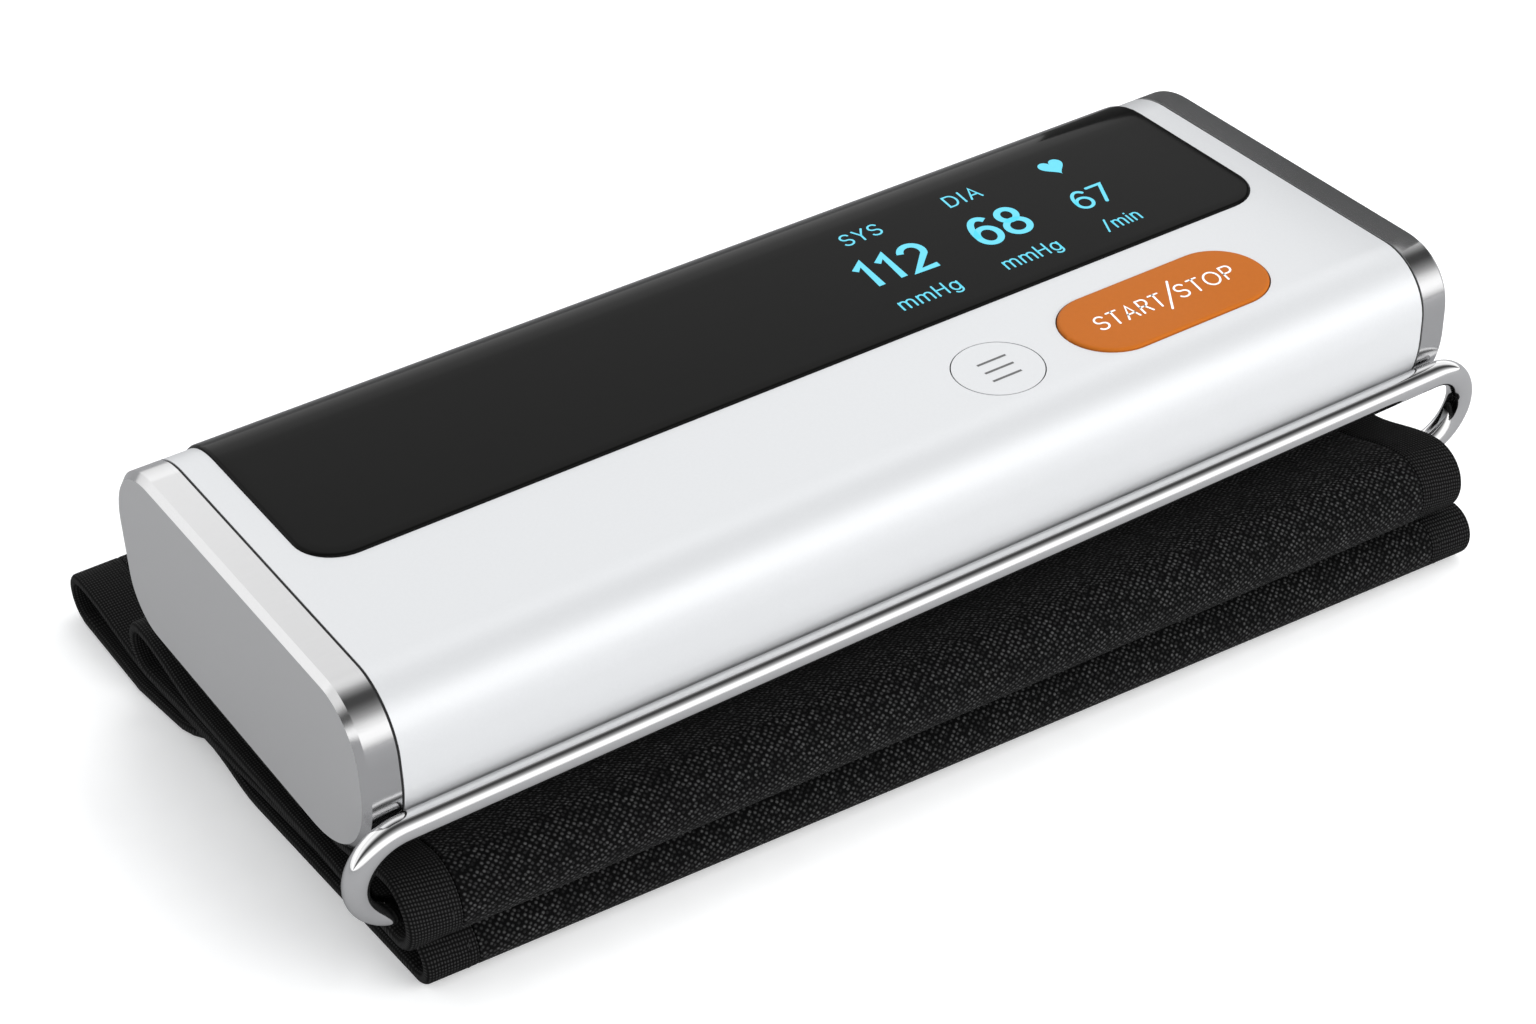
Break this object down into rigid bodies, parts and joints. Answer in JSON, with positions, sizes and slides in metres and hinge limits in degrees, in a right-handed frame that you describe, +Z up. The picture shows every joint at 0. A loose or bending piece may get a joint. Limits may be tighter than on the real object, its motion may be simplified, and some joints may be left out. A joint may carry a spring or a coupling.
{
  "type": "blood pressure monitor",
  "caption": "Slim metal upper-arm blood pressure monitor lying on its folded cloth cuff, with glass readout panel, two push buttons and a wire cuff ring.",
  "frame": {"origin": "on the floor under the middle of the housing, on the flat underside of the folded cuff", "axes": "+X along the housing to its right end as the readout is read, -Y to the front with the ring, +Z up"},
  "size_m": [0.148, 0.0877, 0.0376],
  "materials": {
    "sleeve_metal": "satin anodised, silver white",
    "cap_metal": "bright brushed, polished rim",
    "gasket_rubber": "dull",
    "panel_glass": "black backed glass, glossy",
    "display_black": "unlit display, glossy",
    "flex_film": "polyimide film",
    "button_orange": "satin orange",
    "button_silver": "satin, as the sleeve",
    "switch_black": "moulded",
    "board_green": "solder mask",
    "steel": "plated",
    "battery_film": "foil pouch",
    "chassis_plastic": "moulded",
    "pump_black": "moulded",
    "damper_rubber": "soft",
    "tube_silicone": "translucent silicone",
    "valve_plastic": "moulded",
    "cuff_cloth": "black brushed loop cloth",
    "binding_cloth": "black woven binding",
    "bladder_film": "thin air bladder film",
    "hook_cloth": "hook patch",
    "ring_chrome": "polished chrome wire"
  },
  "bodies": {
    "base": {"housing_shell": "sleeve_metal", "left_end_cap": "cap_metal", "right_end_cap": "cap_metal", "left_gasket": "gasket_rubber", "right_gasket": "gasket_rubber", "display_window": "panel_glass", "display_module": "display_black", "display_flex": "flex_film", "start_switch": "switch_black", "memory_switch": "switch_black", "main_board": "board_green", "board_screws": "steel", "charge_port": "steel", "battery_cell": "battery_film", "inner_chassis": "chassis_plastic", "pump_cradle": "damper_rubber", "pump_motor": "steel", "pump_head": "pump_black", "pump_tube": "tube_silicone", "air_manifold": "pump_black", "valve_tube": "tube_silicone", "exhaust_valve": "valve_plastic", "sensor_tube": "tube_silicone", "pressure_sensor": "switch_black", "cuff_nipple": "pump_black", "nipple_seal": "gasket_rubber", "clamp_plate": "steel", "clamp_screws": "steel", "cuff_anchor_panel": "cuff_cloth", "cuff_fabric": "cuff_cloth", "cuff_lining": "cuff_cloth", "cuff_bladder": "bladder_film", "left_hem": "binding_cloth", "right_hem": "binding_cloth", "hook_patch": "hook_cloth", "ring_sleeve": "binding_cloth"},
    "start": {"start_button": "button_orange"},
    "memory": {"memory_button": "button_silver"},
    "ring": {"wire_ring": "ring_chrome"}
  },
  "joints": [
    {"name": "start_press", "type": "slide", "parent": "base", "child": "start", "axis": [0, 0, -1], "range_m": [0, 0.0006], "stiffness_N_per_m": 2500, "springref_m": -0.0002},
    {"name": "memory_press", "type": "slide", "parent": "base", "child": "memory", "axis": [0, 0, -1], "range_m": [0, 0.0005], "stiffness_N_per_m": 2500, "springref_m": -0.0002},
    {"name": "ring_swing", "type": "hinge", "parent": "base", "child": "ring", "pos_m": [0, -0.0283, 0.0118], "axis": [1, 0, 0], "range_deg": [0, 60]}
  ]
}
